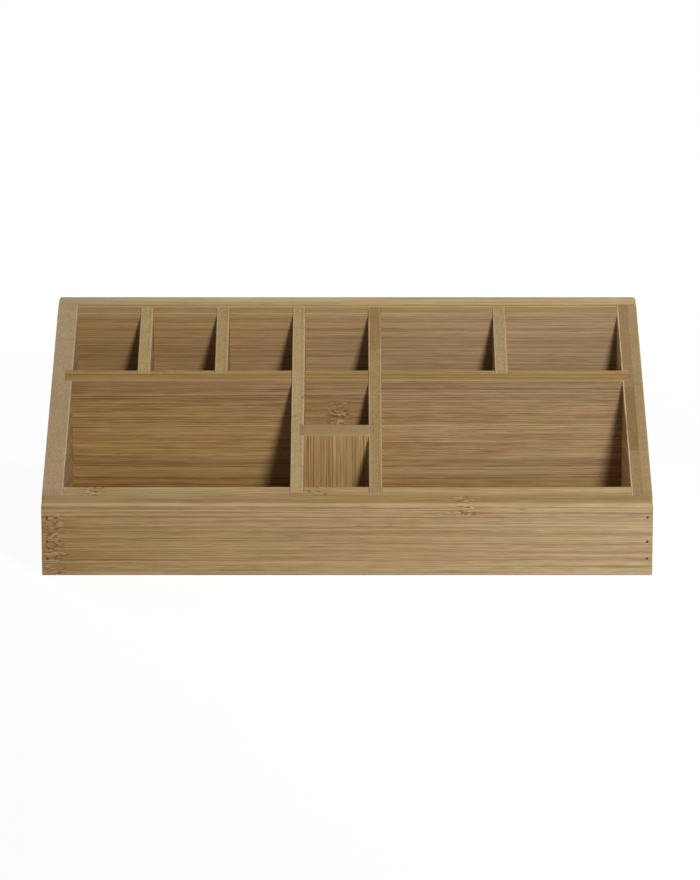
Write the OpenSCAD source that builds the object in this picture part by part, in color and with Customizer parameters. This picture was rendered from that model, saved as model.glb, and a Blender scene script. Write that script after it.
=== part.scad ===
// Open desk organizer in bamboo: a wedge-shaped box without a lid, with ten compartments.
// The origin is at the centre of the footprint on the table. X runs to the right, Y to the
// back and Z up. Lengths are in millimetres.

/* [Overall size] */
// Width over the two side boards
width = 320; // [280:1:420]
// Depth from the front face to the back face
depth = 128; // [118:1:180]
// Height of the back board at its rear face
back_h = 130; // [100:1:180]
// Height of the front board at its front face
front_h = 38; // [32:1:60]

/* [Boards] */
// Thickness of the front, back and side boards
outer_t = 11; // [9:0.5:15]
// Thickness of the dividers
divider_t = 7; // [5:0.5:9]
// Thickness of the base panel
base_t = 5; // [3:0.5:8]
// Height of the base panel's underside above the table
base_lift = 3; // [2:0.5:8]

/* [Compartments] */
// Depth of the six compartments of the rear row
rear_d = 35.5; // [25:0.5:50]
// Width of each of the three small compartments at the left of the rear row
small_w = 35; // [25:0.5:45]
// Width of the centre channel between the two long dividers
channel_w = 34.5; // [25:0.5:50]
// Depth of the compartment in front of the centre divider
channel_front_d = 30; // [15:0.5:40]

/* [Joints] */
// Thickness of the lap that the front and back boards carry past the side boards' ends
lap_t = 5; // [3:0.5:7]
// Depth of the groove in the outer boards that holds the base panel
groove_d = 4; // [2:0.5:6]
// Depth of the housings in the outer boards for the dividers' ends
housing_d = 4; // [2:0.5:6]
// Depth of the housings in the dividers
divider_housing_d = 2.5; // [2:0.25:3]
// Space left over at the left end of the centre divider's housing
centre_end_gap = 1.7; // [0.1:0.1:1.9]
// Clearance round a let-in edge or end
fit_gap = 0.1; // [0.05:0.05:0.3]

/* [Edges] */
// Radius of the eased arrises
arris_r = 0.7; // [0.3:0.1:1.2]
// Radius of the sharp arris along the top of the back board
back_arris_r = 0.25; // [0.1:0.05:0.6]
// Radius of the upper corners of the front and back boards
corner_r = 2.2; // [1:0.1:4]

/* [Brads] */
// Length of a brad with its head and tip
brad_l = 20; // [14:1:30]
// Diameter of a brad's shank
brad_d = 0.9; // [0.8:0.1:1.2]
// Diameter of a brad's head
brad_head_d = 1.3; // [1.3:0.1:2]
// Thickness of a brad's head
brad_head_t = 0.6; // [0.3:0.1:1.2]
// Length of a brad's tapered tip
brad_tip_l = 1.6; // [1:0.1:3]
// Distance from a brad to the end of the board that it goes through
brad_inset = 2.9; // [2:0.1:5]
// Height of the lowest brads
brad_first_z = 9; // [5:0.5:12]
// Height from the lowest to the middle brads at the front
brad_front_step = 9; // [5:0.5:12]
// Depth of the topmost brads' heads or tips below the sloped top
brad_top_margin = 7; // [5:0.5:10]
// Number of brads in each rear corner
brad_back_count = 5; // [3:1:8]
// Radial clearance of a brad in its hole
brad_clearance = 0.05; // [0.02:0.01:0.1]

/* [Hidden] */

// Outer and inner faces of the box
half_w = width / 2;
front_y = -depth / 2;
back_y = depth / 2;
inner_x = half_w - outer_t;
inner_front_y = front_y + outer_t;
inner_back_y = back_y - outer_t;
// Ends of the side boards, which the laps cover
side_front_y = front_y + lap_t;
side_back_y = back_y - lap_t;

// The one slope that the tops of all the boards are cut to
slope_rise = (back_h - front_h) / depth;
slope_angle = atan(slope_rise);
function slope_z(y) = front_h + (y - front_y) * slope_rise;

// Surface that the dividers stand on
floor_z = base_lift + base_t;

// Front and rear faces of the boards that run across
cross_y = [inner_back_y - rear_d - divider_t, inner_back_y - rear_d];
centre_y = [inner_front_y + channel_front_d, inner_front_y + channel_front_d + divider_t];

// Left and right faces of the boards that run from front to back
small_pitch = small_w + divider_t;
rear_1_x = [-inner_x + small_w, -inner_x + small_pitch];
rear_2_x = [for (x = rear_1_x) x + small_pitch];
long_left_x = [for (x = rear_2_x) x + small_pitch];
long_right_x = [for (x = long_left_x) x + channel_w + divider_t];
wide_w = (inner_x - long_right_x[1] - divider_t) / 2;
rear_3_x = [for (x = long_right_x) x + wide_w + divider_t];
long_y = [inner_front_y - housing_d, inner_back_y + housing_d];
rear_y = [cross_y[1] - divider_housing_d, inner_back_y + housing_d];
cross_x = [-inner_x - housing_d, inner_x + housing_d];
centre_x = [long_left_x[1] - divider_housing_d, long_right_x[0] + divider_housing_d];

// Height at which the long dividers and the cross divider are halved into each other
halving_z = (floor_z + slope_z(cross_y[0])) / 2;

// Heights of the brads in a front and in a rear corner
brad_front_z = [brad_first_z, brad_first_z + brad_front_step, front_h - brad_top_margin];
brad_back_top_z = slope_z(back_y - brad_l) - brad_top_margin;
brad_back_pitch = (brad_back_top_z - brad_first_z) / (brad_back_count - 1);
brad_back_z = [for (i = [0:brad_back_count - 1]) brad_first_z + i * brad_back_pitch];

// How far a cutter runs past the face that it opens
past = 1;
round_fn = 48;
brad_fn = 24;
bamboo = "#a88d67";
bamboo_dark = "#94784f";
bamboo_pale = "#b39a70";
steel = "#6b655c";

// A pair of limits moved outwards by a gap
function widened(limits, gap) = [limits[0] - gap, limits[1] + gap];

function unit(v) = v / norm(v);

// Outline of a board in the YZ plane, from z0 up to a height above the slope
function slope_outline(y, z0, above = 0) = [
    [y[0], z0], [y[1], z0], [y[1], slope_z(y[1]) + above], [y[0], slope_z(y[0]) + above]
];

// What a round of radius r takes off a corner, whose edges run towards the points before and after
module corner_waste(corner, before, after, r) {
    along_before = unit(before - corner);
    along_after = unit(after - corner);
    inwards = unit(along_before + along_after);
    half_angle = acos(along_before * along_after) / 2;
    setback = r / tan(half_angle);
    centre = corner + inwards * r / sin(half_angle);
    difference() {
        polygon([
            corner - inwards * past,
            corner + along_before * setback,
            centre,
            corner + along_after * setback
        ]);
        translate(centre)
            circle(r, $fn = round_fn);
    }
}

// Outline with a round of radii[i] at its corner i, where a radius of 0 leaves the corner sharp
module eased_outline(points, radii) {
    count = len(points);
    difference() {
        polygon(points);
        for (i = [0:count - 1])
            if (radii[i] > 0)
                corner_waste(points[i], points[(i + count - 1) % count], points[(i + 1) % count], radii[i]);
    }
}

// A YZ outline carried along X
module along_x(x) {
    translate([x[0], 0, 0])
        rotate([90, 0, 90])
            linear_extrude(x[1] - x[0])
                children();
}

// Cutter for a housing or rabbet, from its seat at z0 up through the sloped top
module housing(x, y, z0 = floor_z) {
    along_x(x)
        polygon(slope_outline(y, z0, past));
}

// Waste of a round on an arris that follows the slope at x, on a board that lies inwards of it
module slope_arris_waste(x, inwards, r = arris_r) {
    translate([x, front_y, front_h])
        rotate([slope_angle, 0, 0])
            translate([0, 2 * depth, 0])
                rotate([90, 0, 0])
                    linear_extrude(3 * depth)
                        corner_waste([0, 0], [inwards, 0], [0, -1], r);
}

// Waste of the rounds on the upright and lower outer arrises at one end of the front or back board
module end_arris_waste(side, y) {
    translate([side * half_w, y, -past])
        linear_extrude(back_h + 2 * past)
            corner_waste([0, 0], [-side, 0], [0, -sign(y)], arris_r);
    lower_arris_waste(side);
}

// Waste of the round on the lower outer arris at one side of the box
module lower_arris_waste(side) {
    translate([side * half_w, depth, 0])
        rotate([90, 0, 0])
            linear_extrude(2 * depth)
                corner_waste([0, 0], [-side, 0], [0, 1], arris_r);
}

// Space of the base panel, grown by a gap
module base_space(gap = 0) {
    reach_x = inner_x + groove_d - fit_gap + gap;
    reach_front = inner_front_y - groove_d + fit_gap - gap;
    reach_back = inner_back_y + groove_d - fit_gap + gap;
    translate([-reach_x, reach_front, base_lift])
        cube([2 * reach_x, reach_back - reach_front, base_t + gap]);
}

// Space of a brad, whose head is flush with the XZ plane and whose tip points along +Y
module brad_space(gap = 0) {
    shank_l = brad_l - brad_head_t - brad_tip_l;
    rotate([-90, 0, 0]) {
        translate([0, 0, gap > 0 ? -past : 0])
            cylinder(d = brad_head_d + 2 * gap, h = brad_head_t + (gap > 0 ? past : 0), $fn = brad_fn);
        translate([0, 0, brad_head_t])
            cylinder(d = brad_d + 2 * gap, h = shank_l + (gap > 0 ? brad_tip_l + gap : 0), $fn = brad_fn);
        if (gap == 0)
            translate([0, 0, brad_head_t + shank_l])
                cylinder(d1 = brad_d, d2 = brad_d / 4, h = brad_tip_l, $fn = brad_fn);
    }
}

// The brads of one front corner; side is -1 at the left and 1 at the right
module front_corner_brads(side, gap = 0) {
    for (z = brad_front_z)
        translate([side * (half_w - brad_inset), front_y, z])
            brad_space(gap);
}

// The brads of one rear corner
module rear_corner_brads(side, gap = 0) {
    for (z = brad_back_z)
        translate([side * (half_w - brad_inset), back_y, z])
            rotate([0, 0, 180])
                brad_space(gap);
}

// Every brad hole in the box
module brad_holes() {
    for (side = [-1, 1]) {
        front_corner_brads(side, brad_clearance);
        rear_corner_brads(side, brad_clearance);
    }
}

// Housings for the ends of the long dividers
module long_housings() {
    for (x = [long_left_x, long_right_x])
        housing(widened(x, fit_gap), long_y);
}

// Housings for the ends of the short rear dividers
module rear_housings() {
    for (x = [rear_1_x, rear_2_x, rear_3_x])
        housing(widened(x, fit_gap), rear_y);
}

// Rabbets at both ends of the front or back board, which leave the laps
module rabbets(y) {
    for (x = [[-half_w - past, -inner_x], [inner_x, half_w + past]])
        housing(x, y, -past);
}

// Panel that closes the box from below, held in grooves round its whole edge
module base_panel() {
    color(bamboo_pale)
        base_space();
}

// Board across the whole front, rabbeted at both ends to lap the side boards
module front_board() {
    color(bamboo)
        difference() {
            along_x([-half_w, half_w])
                eased_outline(slope_outline([front_y, inner_front_y], 0), [arris_r, 0, arris_r, arris_r]);
            for (side = [-1, 1]) {
                end_arris_waste(side, front_y);
                slope_arris_waste(side * half_w, -side, corner_r);
            }
            rabbets([side_front_y, inner_front_y + past]);
            base_space(fit_gap);
            long_housings();
            brad_holes();
        }
}

// Tall board across the whole back, rabbeted at both ends like the front board
module back_board() {
    color(bamboo)
        difference() {
            along_x([-half_w, half_w])
                eased_outline(
                    slope_outline([inner_back_y, back_y], 0),
                    [0, arris_r, back_arris_r, arris_r]
                );
            for (side = [-1, 1]) {
                end_arris_waste(side, back_y);
                slope_arris_waste(side * half_w, -side, corner_r);
            }
            rabbets([inner_back_y - past, side_back_y]);
            base_space(fit_gap);
            long_housings();
            rear_housings();
            brad_holes();
        }
}

// Side board between the two laps; side is -1 at the left and 1 at the right
module side_board(side) {
    outer_face = side * half_w;
    inner_face = side * inner_x;
    color(bamboo)
        difference() {
            along_x([min(outer_face, inner_face), max(outer_face, inner_face)])
                polygon(slope_outline([side_front_y, side_back_y], 0));
            slope_arris_waste(outer_face, -side);
            slope_arris_waste(inner_face, side);
            lower_arris_waste(side);
            base_space(fit_gap);
            housing(cross_x, widened(cross_y, fit_gap));
            brad_holes();
        }
}

// Divider from side to side, halved from above where the long dividers cross it
module cross_divider() {
    color(bamboo_dark)
        difference() {
            along_x(widened(cross_x, -fit_gap))
                eased_outline(slope_outline(cross_y, floor_z), [0, 0, arris_r, arris_r]);
            for (x = [long_left_x, long_right_x])
                housing(widened(x, fit_gap), widened(cross_y, past), halving_z);
            rear_housings();
        }
}

// Divider from the front board to the back board, halved from below over the cross divider
module long_divider(x) {
    color(bamboo_pale)
        difference() {
            along_x(x)
                polygon(slope_outline(widened(long_y, -fit_gap), floor_z));
            slope_arris_waste(x[0], 1);
            slope_arris_waste(x[1], -1);
            translate([x[0] - past, cross_y[0] - fit_gap, floor_z - past])
                cube([
                    x[1] - x[0] + 2 * past,
                    cross_y[1] - cross_y[0] + 2 * fit_gap,
                    halving_z - floor_z + past + fit_gap
                ]);
            housing(centre_x, widened(centre_y, fit_gap));
        }
}

// Short divider of the rear row, let into the cross divider and the back board
module rear_divider(x) {
    color(bamboo_pale)
        difference() {
            along_x(x)
                polygon(slope_outline(widened(rear_y, -fit_gap), floor_z));
            slope_arris_waste(x[0], 1);
            slope_arris_waste(x[1], -1);
        }
}

// Short board across the centre channel, let into both long dividers
module centre_divider() {
    color(bamboo)
        along_x([centre_x[0] + centre_end_gap, centre_x[1] - fit_gap])
            eased_outline(slope_outline(centre_y, floor_z), [0, 0, arris_r, arris_r]);
}

module front_brads(side) {
    color(steel)
        front_corner_brads(side);
}

module rear_brads(side) {
    color(steel)
        rear_corner_brads(side);
}

base_panel();
front_board();
back_board();
side_board(-1);  // left_side_board
side_board(1);  // right_side_board
cross_divider();
long_divider(long_left_x);  // left_long_divider
long_divider(long_right_x);  // right_long_divider
rear_divider(rear_1_x);  // rear_divider_1
rear_divider(rear_2_x);  // rear_divider_2
rear_divider(rear_3_x);  // rear_divider_3
centre_divider();
front_brads(-1);  // front_left_brads
front_brads(1);  // front_right_brads
rear_brads(-1);  // rear_left_brads
rear_brads(1);  // rear_right_brads
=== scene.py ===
import math
import random

import bmesh
import bpy
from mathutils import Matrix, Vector


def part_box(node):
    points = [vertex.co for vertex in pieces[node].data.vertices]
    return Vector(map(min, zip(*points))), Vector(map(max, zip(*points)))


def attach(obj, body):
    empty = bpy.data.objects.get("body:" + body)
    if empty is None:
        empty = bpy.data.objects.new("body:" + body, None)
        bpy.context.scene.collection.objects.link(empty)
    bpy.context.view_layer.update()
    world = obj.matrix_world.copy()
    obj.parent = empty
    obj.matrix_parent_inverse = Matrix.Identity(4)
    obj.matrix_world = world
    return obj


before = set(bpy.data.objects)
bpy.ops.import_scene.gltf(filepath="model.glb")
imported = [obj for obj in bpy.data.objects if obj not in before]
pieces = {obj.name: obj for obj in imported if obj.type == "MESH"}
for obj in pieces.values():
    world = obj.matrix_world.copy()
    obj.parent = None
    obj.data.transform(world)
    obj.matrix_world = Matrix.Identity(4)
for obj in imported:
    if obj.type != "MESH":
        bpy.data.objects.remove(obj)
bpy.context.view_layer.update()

scene = bpy.context.scene

# Camera. The photograph was taken from straight in front with a long lens held level, about ten
# degrees above the table. The values come from the board edges in the photograph.
AIM = Vector((0.0015, 0.0, 0.06066))
DISTANCE = 1.81656
LOOK_DOWN = math.radians(10.176)
SENSOR_WIDTH, LENS = 36.0, 137.63
SEEN_FROM, SEEN_TO = 0.05, 60.0


def aimed(thing, place, direction):
    """A camera or a lamp, put in its place and turned in this direction."""
    scene.collection.objects.link(thing)
    thing.location = place
    thing.rotation_mode = "QUATERNION"
    thing.rotation_quaternion = direction.to_track_quat("-Z", "Y")
    return thing


towards_camera = Vector((0.0, -math.cos(LOOK_DOWN), math.sin(LOOK_DOWN)))
camera = bpy.data.cameras.new("camera")
camera.sensor_width = SENSOR_WIDTH
camera.lens = LENS
camera.clip_start = SEEN_FROM
camera.clip_end = SEEN_TO
scene.camera = aimed(bpy.data.objects.new("camera", camera), AIM + DISTANCE * towards_camera,
                     -towards_camera)

# Studio. A white table and a white room, which the camera sees as plain white. One large soft
# lamp stands high at the right in front, aimed past the right end, and the room fills the rest.
# A weaker one, low behind at the left, shows the back and is hidden by it from the front.
KEY_FROM = Vector((0.405, -1.0, 0.758)).normalized()
KEY_DISTANCE = 1.95
KEY_POWER = 143.0
KEY_CONE = math.radians(47)
BEAM_AT = Vector((0.31, 0.0, 0.06))
REAR_FROM = Vector((-0.7, 1.0, 0.45)).normalized()
REAR_DISTANCE = 1.60
REAR_POWER = 40.0
REAR_CONE = math.radians(28)
LAMP_RADIUS = 0.20
ROOM_LIGHT = 0.10
ROOM_COLOUR = (1.0, 0.88, 0.76, 1.0)
WHITE = (1.0, 1.0, 1.0, 1.0)
TABLE_HALF = 9.0
TABLE_COLOUR = (0.80, 0.80, 0.80, 1.0)
TABLE_SHADE_KEPT = 0.12
# How strongly the table's white glows at these distances from the object's middle, in metres
NEAR, FAR = 0.35, 1.1
GLOW_NEAR, GLOW_FAR = 1.07, 1.13
scene.view_settings.view_transform = "Standard"


def node(tree, kind, feeds=None, **settings):
    """A new shader node. A feed is a value, or the socket that is linked to that input."""
    made = tree.nodes.new("ShaderNode" + kind)
    for name, value in settings.items():
        setattr(made, name, value)
    for name, value in (feeds or {}).items():
        if isinstance(value, bpy.types.NodeSocket):
            tree.links.new(value, made.inputs[name])
        else:
            made.inputs[name].default_value = value
    return made


def math_node(tree, operation, *values):
    return node(tree, "Math", dict(enumerate(values)), operation=operation).outputs[0]


def new_tree(name):
    """A new material and its empty node tree."""
    material = bpy.data.materials.new(name)
    material.use_nodes = True
    material.node_tree.nodes.clear()
    return material, material.node_tree


def seen_directly(tree):
    """1 for what the camera, a reflection or glass sees, and 0 for the light on the object."""
    path = node(tree, "LightPath").outputs
    first = math_node(tree, "MAXIMUM", path["Is Camera Ray"], path["Is Glossy Ray"])
    return math_node(tree, "MAXIMUM", first, path["Is Transmission Ray"])


def placed(shape, name):
    """A finished bmesh as an object in the scene."""
    mesh = bpy.data.meshes.new(name)
    shape.to_mesh(mesh)
    shape.free()
    made = bpy.data.objects.new(name, mesh)
    scene.collection.objects.link(made)
    return made


world = bpy.data.worlds.new("white_room")
world.use_nodes = True
air = world.node_tree
air.nodes.clear()
room = node(air, "Background", {"Color": ROOM_COLOUR, "Strength": ROOM_LIGHT})
backdrop = node(air, "Background", {"Color": WHITE, "Strength": 1.0})
either = node(air, "MixShader", {0: seen_directly(air), 1: room.outputs[0], 2: backdrop.outputs[0]})
node(air, "OutputWorld", {"Surface": either.outputs[0]})
scene.world = world

for name, power, cone, place, target in (
        ("key_lamp", KEY_POWER, KEY_CONE, AIM + KEY_DISTANCE * KEY_FROM, BEAM_AT),
        ("rear_lamp", REAR_POWER, REAR_CONE, AIM + REAR_DISTANCE * REAR_FROM, AIM)):
    lamp = bpy.data.lights.new(name, "SPOT")
    lamp.shadow_soft_size = LAMP_RADIUS
    lamp.energy = power
    lamp.spot_size = cone
    lamp.spot_blend = 1.0
    aimed(bpy.data.objects.new(name, lamp), place, target - place)

sheet = bmesh.new()
bmesh.ops.create_grid(sheet, x_segments=1, y_segments=1, size=TABLE_HALF)
floor = placed(sheet, "table_top")
paper, tree = new_tree("white_paper")
matt = node(tree, "BsdfDiffuse", {"Color": TABLE_COLOUR})
from_middle = node(tree, "VectorMath", {0: node(tree, "TexCoord").outputs["Object"]},
                   operation="LENGTH").outputs["Value"]
strength = node(tree, "MapRange", {"Value": from_middle, "From Min": NEAR, "From Max": FAR,
                                   "To Min": GLOW_NEAR, "To Max": GLOW_FAR}).outputs[0]
glow = node(tree, "Emission", {"Color": WHITE, "Strength": strength})
glowing = math_node(tree, "MULTIPLY", seen_directly(tree), 1.0 - TABLE_SHADE_KEPT)
both = node(tree, "MixShader", {0: glowing, 1: matt.outputs[0], 2: glow.outputs[0]})
node(tree, "OutputMaterial", {"Surface": both.outputs[0]})
floor.data.materials.append(paper)

# Front board. Bamboo strips are pressed side by side into plies, and two plies are glued face to
# face into an 11 mm board. The grain runs from side to side, and the top is sawn to the slope.
MM = 1000.0
FRONT_HEIGHT, BACK_HEIGHT, FULL_DEPTH = 38.0, 130.0, 128.0
SLOPE_RISE = (BACK_HEIGHT - FRONT_HEIGHT) / FULL_DEPTH
SLOPE_MIDDLE = (BACK_HEIGHT + FRONT_HEIGHT) / 2.0
EVEN = (1.0, 1.0, 1.0)
BAMBOO_DARK = (0.205, 0.117, 0.047)
BAMBOO_LIGHT = (0.530, 0.380, 0.212)
MID_TONE, TONE_LIMITS = 0.52, (-0.25, 1.25)
YELLOWISH, ROSY = (0.985, 1.01, 0.96), (1.015, 0.99, 1.03)
CARAMEL = (0.330, 0.180, 0.070)
KNUCKLE_TINT = (0.96, 0.92, 0.82)
FIBRE_BROWN = (0.165, 0.080, 0.026)
PALE_FIBRE = (0.560, 0.405, 0.240)
# The pale arris colour is sanding wear and also a painted highlight along the arrises.
PALE_ARRIS_AND_HIGHLIGHT = (0.680, 0.510, 0.320)
ROUGH_DARK, ROUGH_LIGHT, LACQUER = 0.62, 0.48, 0.35
FIBRE_RELIEF, RELIEF_DEPTH = 0.25, 0.00015
# Bundles of fibres: their size along, across and through the grain, and how strongly they show
FIBRES = (((160.0, 5.0, 5.0), 0.8), ((600.0, 1.3, 1.3), 1.1), ((700.0, 0.6, 0.6), 2.0),
          ((90.0, 0.55, 0.55), 1.4), ((30.0, 0.8, 0.8), 1.0), ((12.0, 0.4, 0.4), 1.6))
# Distances in millimetres over which something fades in, from nothing to all of it
CUT_DEPTH = (0.9, 0.3)
KNUCKLE_CORE, KNUCKLE_FAN = (7.5, 3.5), (28.0, 4.0)
ARRIS_DEPTH, ARRIS_WIDTH = (1.5, 0.5), (1.0, 0.35)
STRIP_JOINT, PLY_SEAM = 0.35, 0.45
# How far a second ply's strips lie along the ramp of strips, and where a knuckle is out of the way
SECOND_PLY, NO_KNUCKLE = 150.0, 400.0
PATTERN_REACH = 900.0
# A ramp holds numbers from 0 to 1, so a length on one is a share of these, in millimetres. It starts
# a little before its first row and ends past its last.
RAMP_LENGTH, LINE_LENGTH = 1000.0, 100.0
BEFORE_FIRST, PAST_LAST_PLY, PAST_LAST_STRIP = 1.0, 40.0, 60.0


def product(tree, *values):
    result = values[0]
    for value in values[1:]:
        result = math_node(tree, "MULTIPLY", result, value)
    return result


def noise(tree, vector, size, detail=1.0):
    """Noise from 0 to 1, with its own size in millimetres along, across and through the grain."""
    place = node(tree, "VectorMath", {0: vector, 1: [1.0 / s for s in size]}, operation="MULTIPLY")
    return node(tree, "TexNoise", {"Vector": place.outputs[0], "Scale": 1.0, "Detail": detail,
                                   "Roughness": 0.5}).outputs["Fac"]


def waves(tree, vector, size, gain, detail=1.0):
    """Noise about zero."""
    return product(tree, math_node(tree, "SUBTRACT", noise(tree, vector, size, detail), 0.5), gain)


def eased(tree, value, low, high, out_low=0.0, out_high=1.0):
    """The value taken smoothly from one pair of limits to another."""
    return node(tree, "MapRange", {"Value": value, "From Min": low, "From Max": high,
                                   "To Min": out_low, "To Max": out_high},
                interpolation_type="SMOOTHSTEP").outputs[0]


def patches(tree, vector, size, limits, amounts=(0.0, 1.0), detail=1.0):
    """Soft patches, which go from one amount to the other between two limits of the noise."""
    return eased(tree, noise(tree, vector, size, detail), *limits, *amounts)


def ramp(tree, value, span, stops, blend="LINEAR"):
    """A colour ramp over real positions; each stop is a position and a colour or a number."""
    low, high = span
    share = node(tree, "MapRange", {"Value": value, "From Min": low, "From Max": high}).outputs[0]
    made = node(tree, "ValToRGB", {"Fac": share})
    made.color_ramp.interpolation = blend
    elements = made.color_ramp.elements
    while len(elements) > 1:
        elements.remove(elements[-1])
    for i, (place, colour) in enumerate(stops):
        place = min(max((place - low) / (high - low), 0.0), 1.0)
        stop = elements[0] if i == 0 else elements.new(place)
        stop.position = place
        stop.color = (*colour, 1.0) if isinstance(colour, tuple) else (colour, colour, colour, 1.0)
    return made.outputs[0]


def stepped(tree, value, span, starts, values):
    """A ramp that keeps each value from the place where it starts to the next one."""
    return ramp(tree, value, span, zip((span[0], *starts[1:]), values), "CONSTANT")


def tinted(tree, along, span, tints):
    """A ramp with its tints at even distances from one end of the grain to the other."""
    low, high = span
    return ramp(tree, along, span, [(low + i * (high - low) / (len(tints) - 1), tint)
                                    for i, tint in enumerate(tints)], "EASE")


def glue_lines(tree, value, span, places, half):
    """1 in the middle of the thin lines at these places, and 0 from half a line's width away."""
    if not places:
        return 0.0
    low, high = span
    stops = [(low, (places[0] - low) / LINE_LENGTH)]
    for place, following in zip(places, (*places[1:], 2.0 * high - places[-1])):
        stops += [(place, 0.0), ((place + following) / 2.0, (following - place) / 2.0 / LINE_LENGTH)]
    return eased(tree, ramp(tree, value, span, stops), half / LINE_LENGTH, 0.0)


def mixed(tree, share, a, b, blend="MIX"):
    """Two colours mixed or multiplied. Inputs 6 and 7 and output 2 are the node's colour ones."""
    made = tree.nodes.new("ShaderNodeMix")
    made.data_type = "RGBA"
    made.blend_type = blend
    made.clamp_factor = True
    for socket, value in ((made.inputs[0], share), (made.inputs[6], a), (made.inputs[7], b)):
        if isinstance(value, bpy.types.NodeSocket):
            tree.links.new(value, socket)
        elif isinstance(value, tuple):
            socket.default_value = (*value, 1.0)
        else:
            socket.default_value = value
    return made.outputs[2]


def to_knuckle(tree, solid, along, lane, span, starts, knuckles):
    """Distance along the grain to the nearer of the strip's two knuckles, ragged like its fibres.

    Both places of a strip are stored as the red and the green of its colour on a ramp.
    """
    spots = []
    for places in knuckles:
        red, green = (place / RAMP_LENGTH + 0.5 for place in (*places, NO_KNUCKLE, NO_KNUCKLE)[:2])
        spots.append((red, green, 0.0))
    both = node(tree, "SeparateColor", {0: stepped(tree, lane, span, starts, spots)}).outputs[:2]
    ragged = waves(tree, solid, (40.0, 2.0, 2.0), 11.0, 2.0)
    here = math_node(tree, "ADD", math_node(tree, "ADD", along, ragged), RAMP_LENGTH / 2.0)
    gaps = [math_node(tree, "ABSOLUTE", math_node(tree, "MULTIPLY_ADD", spot, -RAMP_LENGTH, here))
            for spot in both]
    return math_node(tree, "MINIMUM", *gaps)


def parted(tree, solid, fan):
    """The solid pattern's places, moved sideways where fibres sway and part round a knuckle."""
    sway = waves(tree, solid, (200.0, 30.0, 30.0), 1.6)
    apart = waves(tree, solid, (8.0, 2.4, 2.4), 2.6)
    sideways = math_node(tree, "MULTIPLY_ADD", apart, product(tree, fan, fan), sway)
    moved = node(tree, "CombineXYZ", {0: 0.0, 1: sideways, 2: 0.0}).outputs[0]
    return node(tree, "VectorMath", {0: solid, 1: moved}, operation="ADD").outputs[0]


def fibre_streaks(tree, grain_place):
    """The bundles of fibres added up, about zero."""
    streaks, *finer = (waves(tree, grain_place, size, gain) for size, gain in FIBRES)
    for bundle in finer:
        streaks = math_node(tree, "ADD", streaks, bundle)
    return streaks


def marked(tree, colour, grain_place, quiet, fan, core):
    """Short dark fibres, the knuckles' smoky fibres, and the pale flecks and dark specks in them."""
    dashes = patches(tree, grain_place, (14.0, 0.6, 0.6), (0.66, 0.78), (0.0, 0.55))
    colour = mixed(tree, product(tree, quiet, dashes), colour, FIBRE_BROWN)
    smoky = patches(tree, grain_place, (26.0, 1.5, 1.5), (0.45, 0.66), (0.0, 0.5), 2.0)
    colour = mixed(tree, product(tree, fan, smoky), colour, CARAMEL)
    colour = mixed(tree, fan, colour, KNUCKLE_TINT, "MULTIPLY")
    flecks = patches(tree, grain_place, (6.0, 0.9, 0.9), (0.52, 0.64), (0.0, 0.6))
    colour = mixed(tree, product(tree, core, flecks), colour, PALE_FIBRE)
    specks = patches(tree, grain_place, (3.0, 1.2, 1.2), (0.50, 0.62), (0.0, 0.85))
    return mixed(tree, product(tree, core, specks), colour, FIBRE_BROWN)


def sanded_and_highlit(tree, colour, solid, under_slope, through, faces, worn_and_highlit):
    """The arrises along the sloping cut, paler here and there: partly sanding wear, and partly a
    painted highlight where the light catches them.
    """
    patchy = patches(tree, solid, (25.0, 9.0, 9.0), (0.3, 0.6), (0.45, 1.0), 2.0)
    edge = eased(tree, under_slope, *ARRIS_DEPTH)
    for face, inward, amount in zip(faces, (1.0, -1.0), worn_and_highlit):
        if amount:
            rim = eased(tree, through, *(face + inward * width for width in ARRIS_WIDTH), 0.0, amount)
            colour = mixed(tree, product(tree, rim, edge, patchy), colour, PALE_ARRIS_AND_HIGHLIGHT)
    return colour


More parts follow.
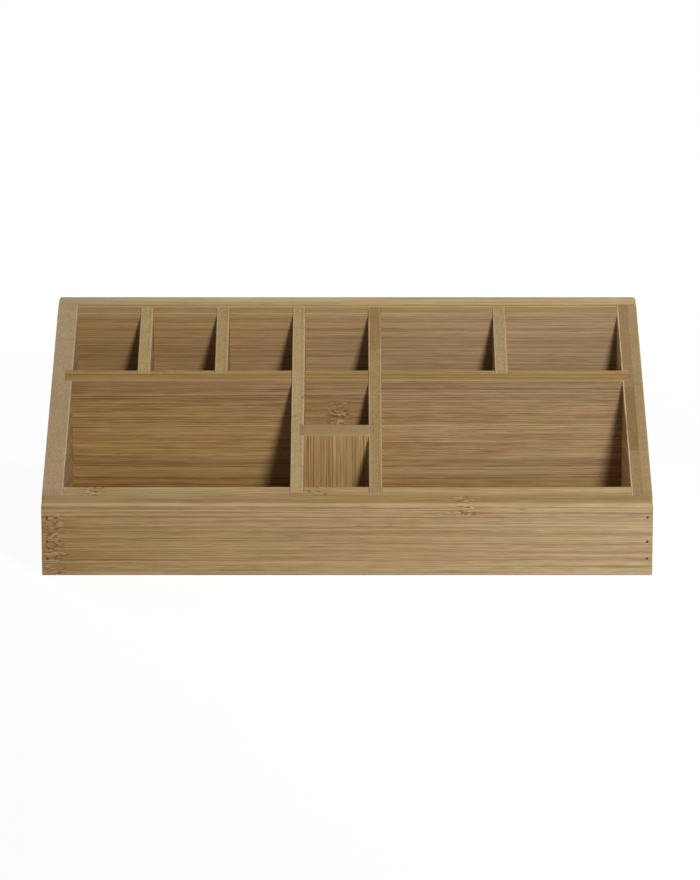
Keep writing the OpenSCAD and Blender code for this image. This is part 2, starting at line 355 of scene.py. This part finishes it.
def bamboo(piece, grain, width, plies, strips, seed, ends=(EVEN, EVEN), cut_ends=(EVEN, EVEN),
           calm=0.0, worn_and_highlit=(0.0, 0.0), contrast=0.60):
    """Laminated bamboo as a solid pattern, so that every sawn face shows its own grain.

    grain and width name the axes that the fibres run along and that the strips lie side by side on.
    plies are (place, shift, tone, cut): where each ply starts on the third axis, in millimetres,
    how far its strips are moved, and its colour on the faces and on the sloping cut. Rows with the
    same shift are one ply that changes colour. strips are (place, tone, knuckles): where each strip
    starts, its colour as a share of the usual one, and where along the grain its knuckles sit, two
    at most. ends and cut_ends tint the faces and the cut from one end of the grain to the other, by
    way of the middle where there are three of them. calm softens the pattern on the cut, and
    worn_and_highlit is how pale the arrises are at the low and the high face: partly sanding wear,
    and partly a painted highlight where the light catches them.
    """
    material, tree = new_tree("bamboo_" + piece)
    place = node(tree, "SeparateXYZ", {0: node(tree, "TexCoord").outputs["Object"]}).outputs
    at = {axis: math_node(tree, "MULTIPLY", place["XYZ".index(axis)], MM) for axis in "XYZ"}
    low, high = (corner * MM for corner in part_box(piece))
    limits = dict(zip("XYZ", zip(low, high)))
    depth = ({"X", "Y", "Z"} - {grain, width}).pop()
    along, across, through = at[grain], at[width], at[depth]
    under_slope = math_node(tree, "MULTIPLY_ADD", at["Y"], SLOPE_RISE,
                            math_node(tree, "SUBTRACT", SLOPE_MIDDLE, at["Z"]))
    on_cut = eased(tree, under_slope, *CUT_DEPTH)
    quiet = eased(tree, on_cut, 0.0, 1.0, 1.0, 1.0 - calm)

    # Each ply has its own strips, so its shift moves it to other places on the ramp of strips
    ply_starts, shifts, face_tones, cut_tones = zip(*plies)
    ply_span = (ply_starts[0] - BEFORE_FIRST, ply_starts[-1] + PAST_LAST_PLY)
    shift = stepped(tree, through, ply_span, ply_starts, [far / RAMP_LENGTH for far in shifts])
    on_face = stepped(tree, through, ply_span, ply_starts, face_tones)
    on_top = stepped(tree, through, ply_span, ply_starts, cut_tones)
    glued = [start for start, inner, outer in zip(ply_starts[1:], shifts, shifts[1:])
             if inner != outer]
    seams = glue_lines(tree, through, ply_span, glued, PLY_SEAM)
    strip_starts, strip_tones, knuckles = zip(*strips)
    strip_span = (strip_starts[0] - BEFORE_FIRST, strip_starts[-1] + PAST_LAST_STRIP)
    lane = math_node(tree, "MULTIPLY_ADD", shift, RAMP_LENGTH, across)
    tone = stepped(tree, lane, strip_span, strip_starts, strip_tones)
    joints = glue_lines(tree, lane, strip_span, strip_starts[1:], STRIP_JOINT)

    # Every piece starts at another place in the solid pattern, as if cut from other culms
    rng = random.Random(seed)
    origin = [rng.uniform(-PATTERN_REACH, PATTERN_REACH) for _ in range(3)]
    solid = node(tree, "CombineXYZ", {0: along, 1: across, 2: through}).outputs[0]
    solid = node(tree, "VectorMath", {0: solid, 1: origin}, operation="ADD").outputs[0]
    near = to_knuckle(tree, solid, along, lane, strip_span, strip_starts, knuckles)
    core = product(tree, eased(tree, near, *KNUCKLE_CORE), quiet)
    fan = product(tree, eased(tree, near, *KNUCKLE_FAN), quiet)
    grain_place = parted(tree, solid, fan)
    streaks = fibre_streaks(tree, grain_place)
    light = eased(tree, math_node(tree, "MULTIPLY_ADD", streaks, product(tree, quiet, contrast),
                                  MID_TONE), *TONE_LIMITS)

    # The plain colour, its drifts along the strips, and the tones of strips, ends, cut and plies
    colour = mixed(tree, light, BAMBOO_DARK, BAMBOO_LIGHT)
    warm = patches(tree, grain_place, (60.0, 9.0, 9.0), (0.36, 0.64))
    for tint in (mixed(tree, warm, YELLOWISH, ROSY), tone,
                 mixed(tree, on_cut, tinted(tree, along, limits[grain], ends),
                       tinted(tree, along, limits[grain], cut_ends)),
                 mixed(tree, on_cut, on_face, on_top)):
        colour = mixed(tree, 1.0, colour, tint, "MULTIPLY")
    colour = marked(tree, colour, grain_place, quiet, fan, core)
    broken = patches(tree, solid, (50.0, 6.0, 6.0), (0.3, 0.6), (0.25, 0.75))
    for lines in (joints, seams):
        colour = mixed(tree, product(tree, lines, broken, quiet), colour, FIBRE_BROWN)
    # Paler arrises: sanding wear, and a painted highlight where they catch the light.
    colour = sanded_and_highlit(tree, colour, solid, under_slope, through, limits[depth], worn_and_highlit)

    bump = node(tree, "Bump", {"Height": streaks, "Strength": FIBRE_RELIEF, "Distance": RELIEF_DEPTH})
    sheen = eased(tree, light, 0.0, 1.0, ROUGH_DARK, ROUGH_LIGHT)
    finish = node(tree, "BsdfPrincipled", {"Base Color": colour, "Roughness": sheen,
                                           "Specular IOR Level": LACQUER, "Normal": bump.outputs[0]})
    node(tree, "OutputMaterial", {"Surface": finish.outputs[0]})
    pieces[piece].material_slots[0].material = material


bamboo("front_board", "X", "Z",
       plies=[(-64.0, 0.0, 0.98, (0.79, 0.73, 0.58)), (-61.3, 0.0, 0.98, (0.72, 0.66, 0.485)),
              (-59.0, 120.0, 1.04, (0.94, 0.935, 0.83))],
       strips=[(0.0, (1.04, 1.12, 1.14), (-153.5,)), (8.4, (0.96, 0.97, 0.94), (-153.5,)),
               (26.0, (1.03, 1.05, 1.08), (-153.5,)), (31.2, (1.03, 1.05, 1.07), (61.0,)),
               (100.0, EVEN, (20.0,)), (140.0, (1.02, 1.03, 1.02), (-133.0, -15.5))],
       seed=11, ends=((1.04, 0.96, 0.79), (0.945, 0.91, 0.80), (1.08, 1.10, 1.14)),
       cut_ends=((1.31, 1.38, 1.46), (1.08, 1.07, 1.06), (1.01, 1.03, 1.03)),
       calm=0.2, worn_and_highlit=(0.35, 0.6), contrast=0.58)

# Back board. Two plies of horizontal strips like the front board's, 130 mm tall. It closes the
# rear compartments, and its outer ply gets lighter towards the back.
bamboo("back_board", "X", "Z",
       plies=[(53.0, 0.0, 0.98, (0.83, 0.78, 0.59)), (57.0, 0.0, 0.98, (1.10, 1.11, 0.93)),
              (58.3, SECOND_PLY, 1.0, (1.0, 0.98, 0.80)),
              (59.3, SECOND_PLY, 1.0, (1.17, 1.19, 1.05)),
              (60.2, SECOND_PLY, 1.0, (1.18, 1.27, 1.35))],
       strips=[(0.0, (0.92, 0.90, 0.86), ()), (22.0, (0.95, 0.93, 0.9), ()),
               (44.0, (0.9, 0.88, 0.84), ()), (66.0, (0.94, 0.9, 0.86), ()),
               (88.0, (0.9, 0.88, 0.84), ()), (110.0, (0.94, 0.92, 0.88), ()),
               (150.0, EVEN, (-100.0,)), (172.0, (1.04, 1.03, 1.0), (40.0,)),
               (194.0, (0.96, 0.96, 0.94), (130.0,)), (216.0, EVEN, (-30.0,)),
               (238.0, (1.03, 1.02, 1.0), (-120.0,)), (260.0, (0.98, 0.98, 0.97), ())],
       seed=12, ends=((0.97, 0.87, 0.63), (0.98, 0.98, 0.99)),
       cut_ends=((1.15, 1.20, 1.25), (1.03, 1.05, 1.10)), worn_and_highlit=(0.2, 0.3), contrast=0.43)

# Side boards. The grain runs from front to back, and the sloping cut crosses every strip, so the
# fibre ends show on top as fine dots. The cross divider is let into a housing in each of them.
SIDE_STRIPS = [(0.0, EVEN, (30.0,)), (22.0, (0.96, 0.96, 0.94), (-40.0,)),
               (44.0, (1.02, 1.01, 1.0), (10.0,)), (66.0, (0.98, 0.98, 0.97), (50.0,)),
               (85.0, (1.03, 1.05, 1.06), (-10.0,)), (110.0, (1.06, 1.10, 1.13), (20.0,)),
               (150.0, EVEN, (-30.0,)), (172.0, (0.95, 0.95, 0.93), (45.0,)),
               (194.0, (1.02, 1.02, 1.0), (0.0,)), (216.0, (0.98, 0.98, 0.97), (25.0,)),
               (240.0, (1.08, 1.12, 1.18), (50.0,)), (262.0, (1.12, 1.17, 1.24), (10.0,))]
bamboo("left_side_board", "Y", "Z",
       plies=[(-160.0, 0.0, 1.0, (1.20, 1.26, 1.33)), (-154.5, 0.0, 1.15, (1.18, 1.23, 1.29))],
       strips=SIDE_STRIPS, seed=13, calm=0.6, worn_and_highlit=(0.1, 0.6))
RIGHT_STRIPS = [(0.0, EVEN, (30.0,)), (60.0, (0.76, 0.72, 0.54), (10.0,)),
                (88.0, (0.97, 0.95, 0.92), (-10.0,)), (110.0, (1.0, 0.99, 0.96), (20.0,)),
                *SIDE_STRIPS[6:10],
                (240.0, (1.0, 1.02, 1.06), (50.0,)), (262.0, (1.03, 1.06, 1.12), (10.0,))]
# Painted light: the inner face's tone of 1.7 lightens that face, which the lamp leaves in shade, as
# bounced light would, and its pale inner arris is a painted highlight as well as sanding wear.
bamboo("right_side_board", "Y", "Z",
       plies=[(149.0, 0.0, 1.7, (0.69, 0.67, 0.57)),
              (154.8, SECOND_PLY, 1.03, (0.80, 0.79, 0.67))],
       strips=RIGHT_STRIPS, seed=14, calm=0.6, worn_and_highlit=(1.0, 0.1))

# Base panel. A 5 mm bamboo panel that sits in grooves round the four outer boards, 3 mm above the
# table. Its edges are eased with a scraper.
MERGED_WITHIN, EASED_BY, EASED_STEPS = 0.00001, 0.0003, 2
bamboo("base_panel", "X", "Y", plies=[(3.0, 0.0, 1.0, 1.0)],
       strips=[(-60.0, EVEN, (30.0,)), (-38.0, (0.96, 0.96, 0.94), (-90.0,)),
               (-16.0, (1.02, 1.01, 1.0), (110.0,)), (6.0, (0.98, 0.98, 0.97), (-20.0,)),
               (28.0, EVEN, (70.0,)), (50.0, (0.97, 0.97, 0.96), (-120.0,))],
       seed=15)
weld = pieces["base_panel"].modifiers.new("weld", "WELD")
weld.merge_threshold = MERGED_WITHIN
eased_edge = pieces["base_panel"].modifiers.new("eased_edge", "BEVEL")
eased_edge.width = EASED_BY
eased_edge.segments = EASED_STEPS
eased_edge.limit_method = "ANGLE"

# Cross divider. One 7 mm board from side to side that parts the low front compartments from the
# tall rear ones. Its strips are darker than the outer boards', and it is darker still in a band just
# below the top.
bamboo("cross_divider", "X", "Z",
       plies=[(10.5, 0.0, 0.92, (0.92, 0.90, 0.60)),
              (14.0, SECOND_PLY, 0.98, (0.83, 0.78, 0.52))],
       strips=[(0.0, (0.86, 0.77, 0.58), ()), (38.0, (0.97, 0.93, 0.82), ()),
               (48.5, (1.17, 1.11, 1.02), ()), (57.0, (1.09, 1.03, 0.95), ()),
               (66.0, (1.04, 0.99, 0.91), (-5.0,)), (79.0, (0.93, 0.88, 0.83), ()),
               (86.0, (0.82, 0.75, 0.68), ()), (150.0, (0.96, 0.96, 0.94), (60.0,)),
               (172.0, (0.98, 0.98, 0.96), (-60.0,)), (194.0, (0.96, 0.96, 0.94), (20.0,)),
               (216.0, (0.98, 0.98, 0.97), (100.0,)), (238.0, (0.98, 0.98, 0.97), (-100.0,))],
       seed=16, ends=((0.95, 0.85, 0.61), (0.97, 0.97, 0.97)),
       cut_ends=((1.13, 1.13, 1.08), (1.01, 1.01, 0.95)), calm=0.3, worn_and_highlit=(0.1, 0.7), contrast=0.68)

# Long and rear dividers. Five 7 mm boards with their grain from front to back: two from the front
# board to the back board, and three from the cross divider to the back board.
DIVIDER_STRIPS = [(0.0, EVEN, (-30.0,)), (24.0, (0.98, 0.97, 0.95), (20.0,)),
                  (48.0, EVEN, (-10.0,)), (76.0, (1.0, 1.0, 0.98), (40.0,)),
                  (105.0, (0.96, 0.96, 0.94), ()), (150.0, EVEN, (10.0,)),
                  (176.0, (0.97, 0.97, 0.96), (-30.0,)), (204.0, EVEN, (35.0,)),
                  (232.0, (1.0, 0.99, 0.97), (0.0,)), (255.0, (0.97, 0.97, 0.95), ())]
TOP_STRIPS = (105.0, 255.0)
BROWN_TOP = [(strip[0], (0.845, 0.77, 0.69), ()) if strip[0] in TOP_STRIPS else strip
             for strip in DIVIDER_STRIPS]
FIRST_PLY_WIDTH = 5.2
for divider, seed, strips, cut in (
        ("left_long_divider", 17, DIVIDER_STRIPS, (1.09, 1.15, 1.04)),
        ("right_long_divider", 18, BROWN_TOP, (0.835, 0.825, 0.64)),
        ("rear_divider_1", 19, DIVIDER_STRIPS, (1.18, 1.25, 1.07)),
        ("rear_divider_2", 20, DIVIDER_STRIPS, (1.03, 1.055, 0.88)),
        ("rear_divider_3", 21, DIVIDER_STRIPS, (0.95, 1.0, 0.94))):
    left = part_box(divider)[0].x * MM
    bamboo(divider, "Y", "Z",
           plies=[(left, 0.0, 1.0, cut), (left + FIRST_PLY_WIDTH, SECOND_PLY, 0.97, cut)],
           strips=strips, seed=seed, calm=0.5, worn_and_highlit=(0.7, 0.3))

# Centre divider. A short 7 mm board across the channel between the long dividers. It is the only
# one with upright grain, and the notch at its left end is longer than the board.
bamboo("centre_divider", "Z", "X", plies=[(-23.0, 0.0, 1.0, (0.84, 0.91, 1.0))],
       strips=[(-30.0, (0.97, 0.85, 0.64), ()), (-8.0, (0.99, 0.87, 0.66), ())],
       seed=23, calm=0.8, worn_and_highlit=(0.1, 0.6), contrast=0.6)

# Glue. The notch at the centre divider's left end is longer than the board, and dried glue with
# sanding dust in it fills the rest to just below the sloping top.
NOTCH_LENGTH, GLUE_DEPTH, GLUE_BELOW_TOP, GLUE_CLEAR = 0.0017, 0.012, 0.0003, 0.00004
GLUE_CUTS, ON_PLANE = 5, 1e-7
GLUE_BROWN, GLUE_PALE = (0.230, 0.148, 0.060), (0.330, 0.230, 0.110)


def blotched(name, size, limits, dark, light, finish):
    """A dull material that is dark and light in small patches of this size in millimetres."""
    material, tree = new_tree(name)
    in_mm = node(tree, "VectorMath", {0: node(tree, "TexCoord").outputs["Object"], 1: (MM, MM, MM)},
                 operation="MULTIPLY").outputs[0]
    colour = mixed(tree, patches(tree, in_mm, size, limits, detail=2.0), dark, light)
    surface = node(tree, "BsdfPrincipled", {"Base Color": colour, **finish})
    node(tree, "OutputMaterial", {"Surface": surface.outputs[0]})
    return material


board_low, board_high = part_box("centre_divider")
end_x, end_front, end_back = board_low.x, board_low.y, board_high.y
glue_low = SLOPE_MIDDLE / MM + SLOPE_RISE * end_front - GLUE_DEPTH
glue_high = SLOPE_MIDDLE / MM + SLOPE_RISE * end_back
bead = bmesh.new()
bmesh.ops.create_cube(bead, size=1.0)
bmesh.ops.scale(bead, verts=bead.verts, vec=(NOTCH_LENGTH - 2 * GLUE_CLEAR, end_back - end_front,
                                             glue_high - glue_low))
bmesh.ops.translate(bead, verts=bead.verts,
                    vec=(end_x - NOTCH_LENGTH / 2, (end_front + end_back) / 2,
                         (glue_low + glue_high) / 2))
bmesh.ops.subdivide_edges(bead, edges=bead.edges[:], cuts=GLUE_CUTS, use_grid_fill=True)
sawn = bmesh.ops.bisect_plane(bead, geom=bead.verts[:] + bead.edges[:] + bead.faces[:],
                              dist=ON_PLANE, plane_co=(0, 0, SLOPE_MIDDLE / MM - GLUE_BELOW_TOP),
                              plane_no=(0, -SLOPE_RISE, 1), clear_outer=True)["geom_cut"]
rim = [item for item in sawn if isinstance(item, bmesh.types.BMEdge)]
top = bmesh.ops.contextual_create(bead, geom=rim)["faces"]
bmesh.ops.poke(bead, faces=top, offset=-GLUE_BELOW_TOP / 2)
bmesh.ops.recalc_face_normals(bead, faces=bead.faces)
glue = placed(bead, "notch_glue")
glue.data.materials.append(blotched("dried_glue", (0.6, 0.9, 0.9), (0.3, 0.7), GLUE_BROWN, GLUE_PALE,
                                    {"Roughness": 0.5, "Specular IOR Level": 0.35}))
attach(glue, "root")

# Brads. Thin steel nails through the ends of the front and back boards into the side boards. The
# small heads are driven flush, and they are stained brown by the lacquer over them.
STAIN_DARK, STAIN_LIGHT = (0.060, 0.032, 0.018), (0.130, 0.080, 0.048)
steel = blotched("stained_steel", (0.5, 0.5, 0.5), (0.35, 0.65), STAIN_DARK, STAIN_LIGHT,
                 {"Metallic": 0.1, "Roughness": 0.75, "Specular IOR Level": 0.2})
for corner in ("front_left", "front_right", "rear_left", "rear_right"):
    pieces[corner + "_brads"].material_slots[0].material = steel
